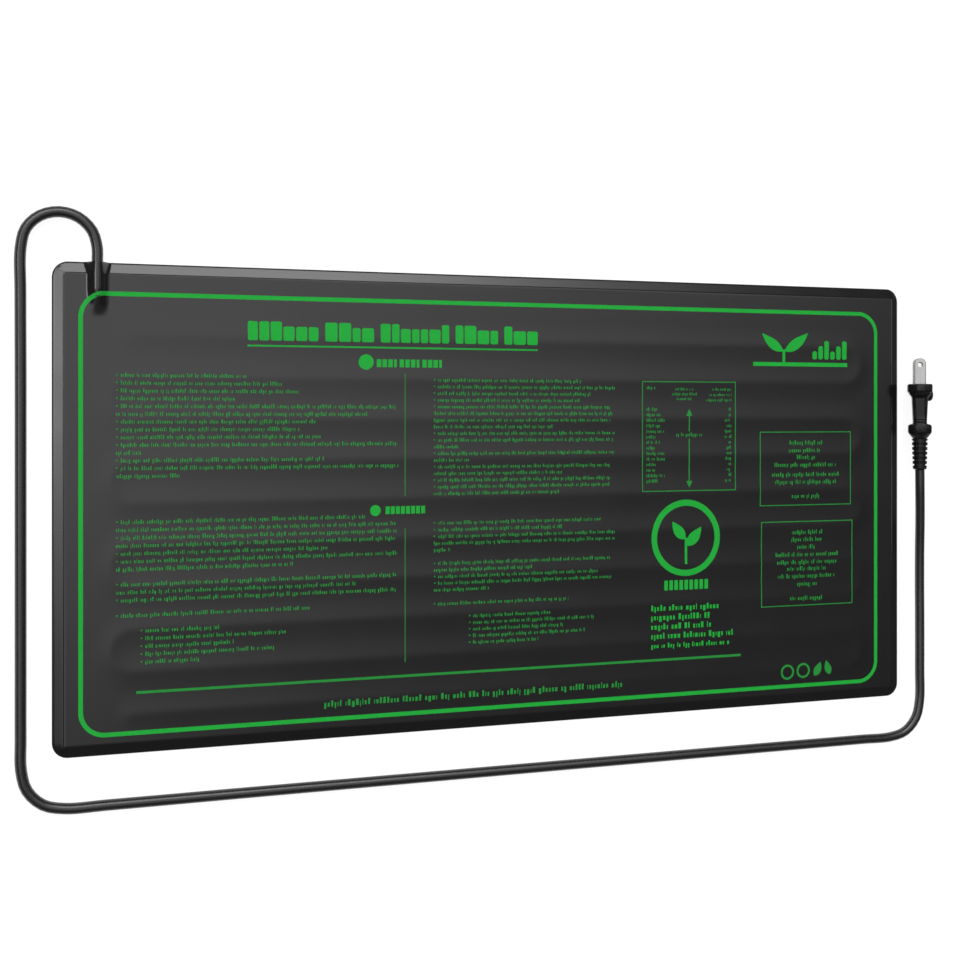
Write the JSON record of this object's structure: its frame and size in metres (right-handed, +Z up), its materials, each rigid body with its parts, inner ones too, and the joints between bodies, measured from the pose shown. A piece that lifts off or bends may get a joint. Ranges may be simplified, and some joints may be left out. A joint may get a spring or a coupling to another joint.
{
  "type": "seedling heat mat",
  "caption": "Flat black heating mat for seed trays: sealed vinyl films round a heating wire, with a free mains cord and a polarised two-blade plug.",
  "frame": {"origin": "under the middle of the mat, on the surface that it lies on", "axes": "+X along the mat's long side, +Y along its short side towards the edge where the cord comes out, +Z up through the mat, out of its printed face"},
  "size_m": [0.5464, 0.3099, 0.0215],
  "materials": {
    "film_top": "satin black vinyl film",
    "film_bottom": "matt black vinyl film",
    "foam": "grey foam sheet",
    "foil": "bright foil",
    "backing": "white non-woven sheet",
    "wire_cover": "red wire insulation",
    "core_black": "black wire insulation",
    "core_white": "white wire insulation",
    "crimp": "tinned brass",
    "shrink_sleeve": "heat-shrink sleeve",
    "cord_jacket": "satin black cord jacket",
    "plug_moulding": "satin black moulded vinyl",
    "plug_insert": "dark grey moulding",
    "blade": "nickel plating, lightly brushed",
    "print_green": "green ink"
  },
  "bodies": {
    "root": {"top_cover": "film_top", "cord_entry_blister": "film_top", "bottom_cover": "film_bottom", "insulation_foam": "foam", "reflector_foil": "foil", "wire_backing_sheet": "backing", "heating_wire": "wire_cover", "return_lead": "core_white", "cord_anchor": "shrink_sleeve", "supply_lead_line": "core_black", "supply_lead_neutral": "core_white", "splice_crimp_line": "crimp", "splice_crimp_neutral": "crimp", "splice_sleeve_line": "shrink_sleeve", "splice_sleeve_neutral": "shrink_sleeve", "power_cord": "cord_jacket", "plug_strain_relief": "plug_moulding", "plug_body": "plug_moulding", "plug_bridge": "plug_insert", "blade_line": "blade", "blade_neutral": "blade", "plug_lead_line": "core_black", "plug_lead_neutral": "core_white"}
  },
  "joints": []
}
